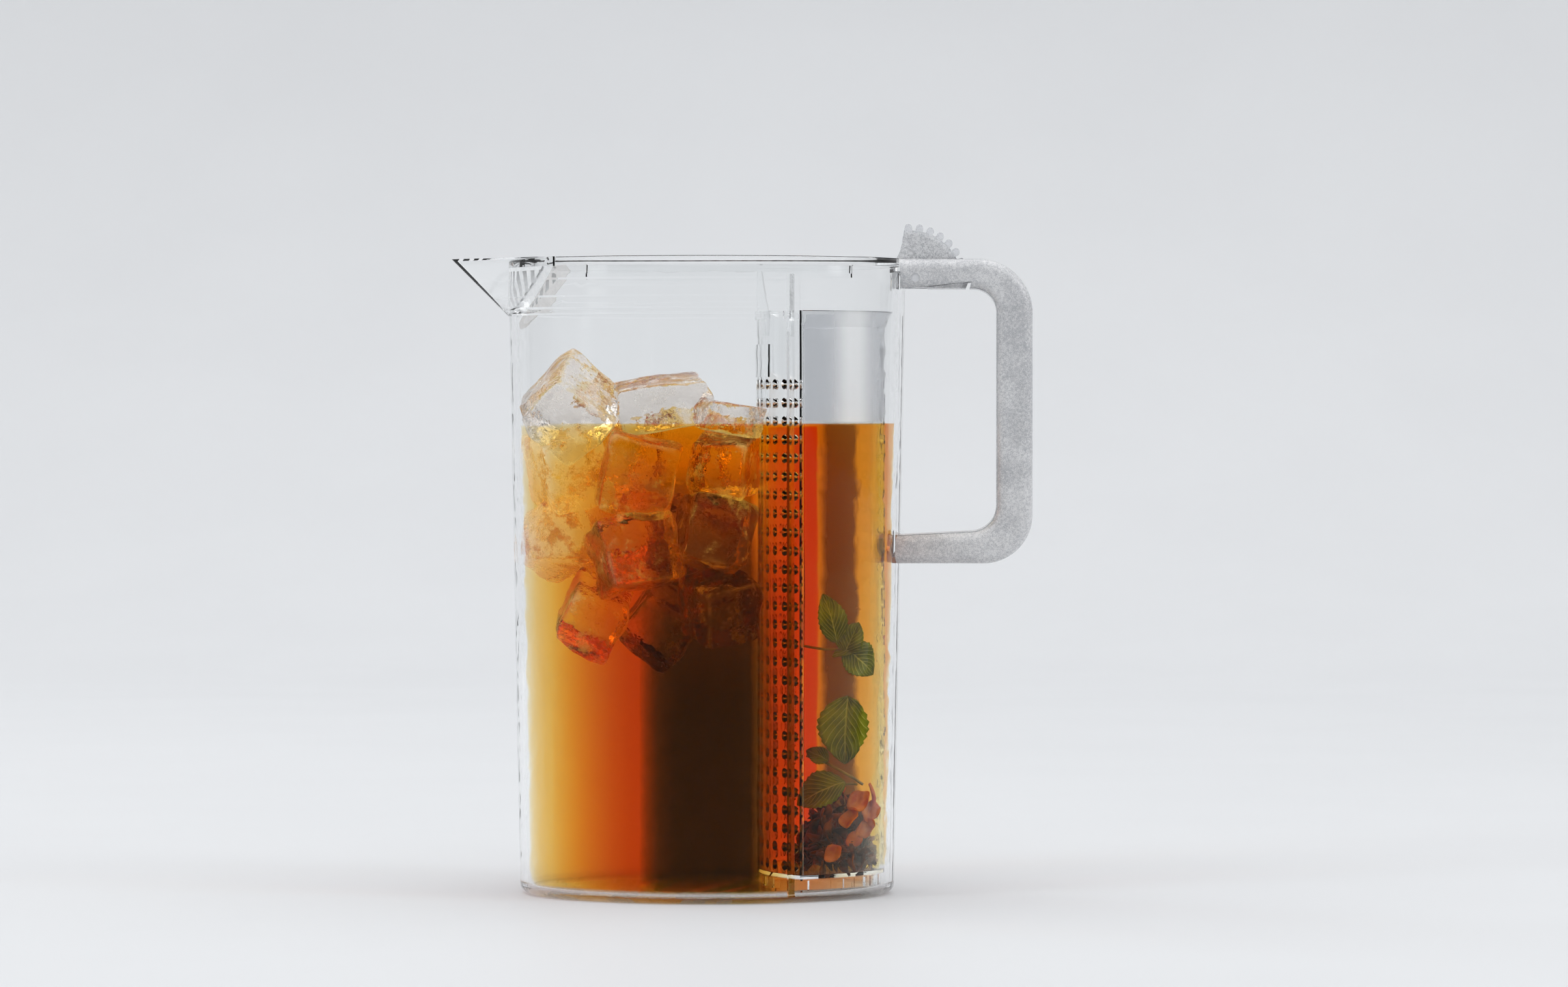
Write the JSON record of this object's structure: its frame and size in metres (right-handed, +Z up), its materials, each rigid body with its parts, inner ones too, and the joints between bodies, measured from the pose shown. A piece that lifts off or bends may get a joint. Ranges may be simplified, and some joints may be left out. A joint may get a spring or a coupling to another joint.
{
  "type": "iced tea maker",
  "caption": "Oval clear jug with a pointed pouring spout, a hinged lid with an ice comb and a toothed thumb lever, a hollow side handle and a tall perforated infuser inside.",
  "frame": {"origin": "centre of the oval base, on the surface that the jug stands on", "axes": "+Z up, +X from the jug's axis towards the handle, -X towards the spout"},
  "size_m": [0.2253, 0.1228, 0.2589],
  "materials": {
    "clear_plastic": "clear, polished",
    "hazy_plastic": "clear with a slight haze",
    "frosted_plastic": "translucent, finely sparkling frost",
    "pin_plastic": "satin"
  },
  "bodies": {
    "jug": {"jug_body": "clear_plastic", "handle_shell": "frosted_plastic", "handle_inner_cover": "frosted_plastic", "hinge_pin": "pin_plastic"},
    "lid": {"lid_plate": "clear_plastic", "ice_comb": "frosted_plastic", "thumb_lever": "frosted_plastic"},
    "infuser": {"infuser_screen": "clear_plastic", "infuser_rear_shell": "hazy_plastic", "infuser_base": "clear_plastic", "infuser_grip": "clear_plastic"}
  },
  "joints": [
    {"name": "lid_hinge", "type": "hinge", "parent": "jug", "child": "lid", "pos_m": [0.0809, 0, 0.2381], "axis": [0, 1, 0], "range_deg": [0, 75]},
    {"name": "infuser_lift", "type": "slide", "parent": "jug", "child": "infuser", "axis": [0, 0, 1], "range_m": [0, 0.0009]}
  ]
}
